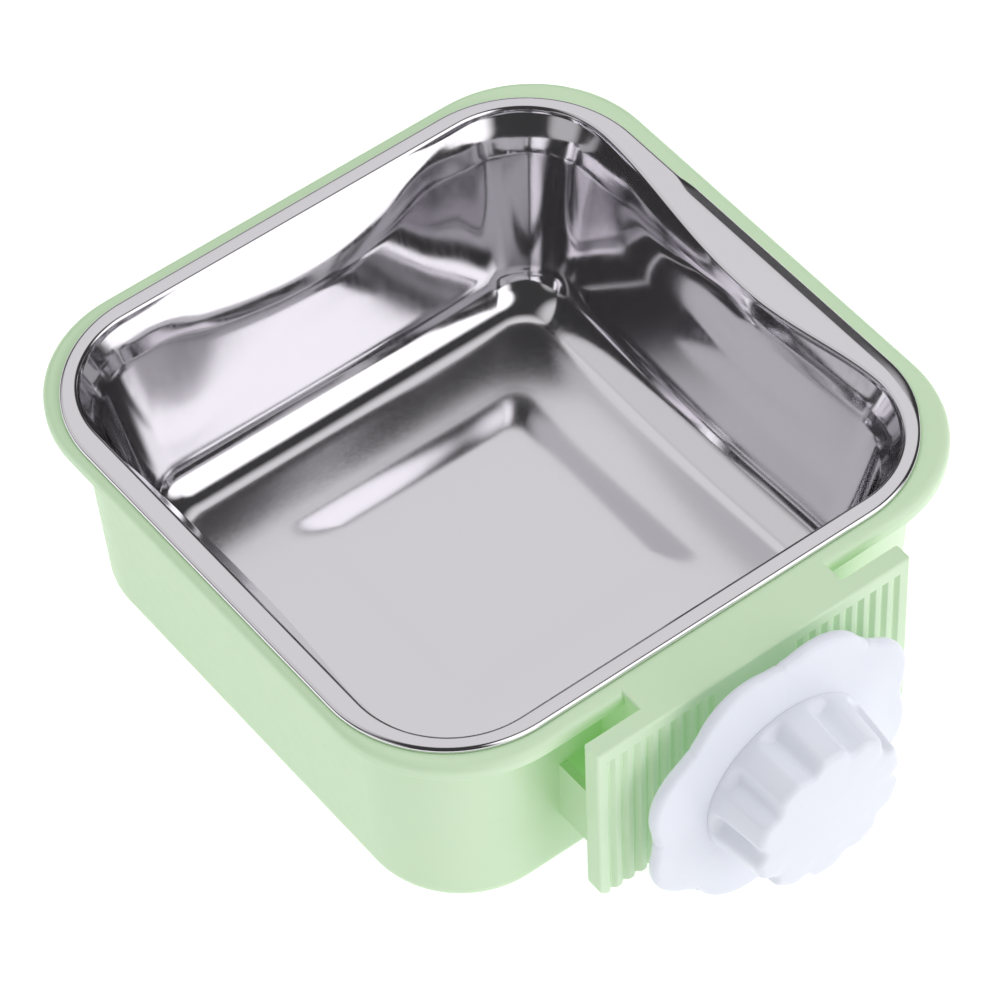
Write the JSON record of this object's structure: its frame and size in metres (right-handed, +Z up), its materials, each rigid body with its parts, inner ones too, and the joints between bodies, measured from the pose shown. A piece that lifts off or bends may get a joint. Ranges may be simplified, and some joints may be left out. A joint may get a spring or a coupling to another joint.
{
  "type": "screw-on cage bowl",
  "caption": "Square cage bowl for small animals: a steel bowl lifts out of a moulded holder, and a fluted knob draws a wavy disc up to a ribbed plate to grip the cage wires.",
  "frame": {"origin": "middle of the holder's base, on its underside", "axes": "+Z up out of the bowl, -Y towards the clamp's knob, +X to the right seen from the knob's side"},
  "size_m": [0.14, 0.1719, 0.0612],
  "materials": {
    "green_plastic": "pale green, satin moulded",
    "white_plastic": "cool white, satin moulded",
    "stainless": "drawn and polished",
    "spring_steel": "plain"
  },
  "bodies": {
    "root": {"holder": "green_plastic", "captive_nut": "white_plastic"},
    "bowl": {"steel_bowl": "stainless"},
    "disc": {"pressure_disc": "white_plastic"},
    "knob": {"clamp_knob": "white_plastic", "clamp_screw": "white_plastic", "retaining_ring": "spring_steel"}
  },
  "joints": [
    {"name": "bowl_lift", "type": "slide", "parent": "root", "child": "bowl", "axis": [0, 0, 1], "range_m": [0, 0.06]},
    {"name": "disc_slide", "type": "slide", "parent": "root", "child": "disc", "axis": [0, 1, 0], "range_m": [-0.0033, 0.0051]},
    {"name": "knob_turn", "type": "hinge", "parent": "disc", "child": "knob", "pos_m": [0, -0.09, 0.0275], "axis": [0, 1, 0], "range_deg": [-390, 600]}
  ],
  "couplings": [
    {"joint": "disc_slide", "follows": "knob_turn", "m_per_rad": 0.00047746}
  ]
}
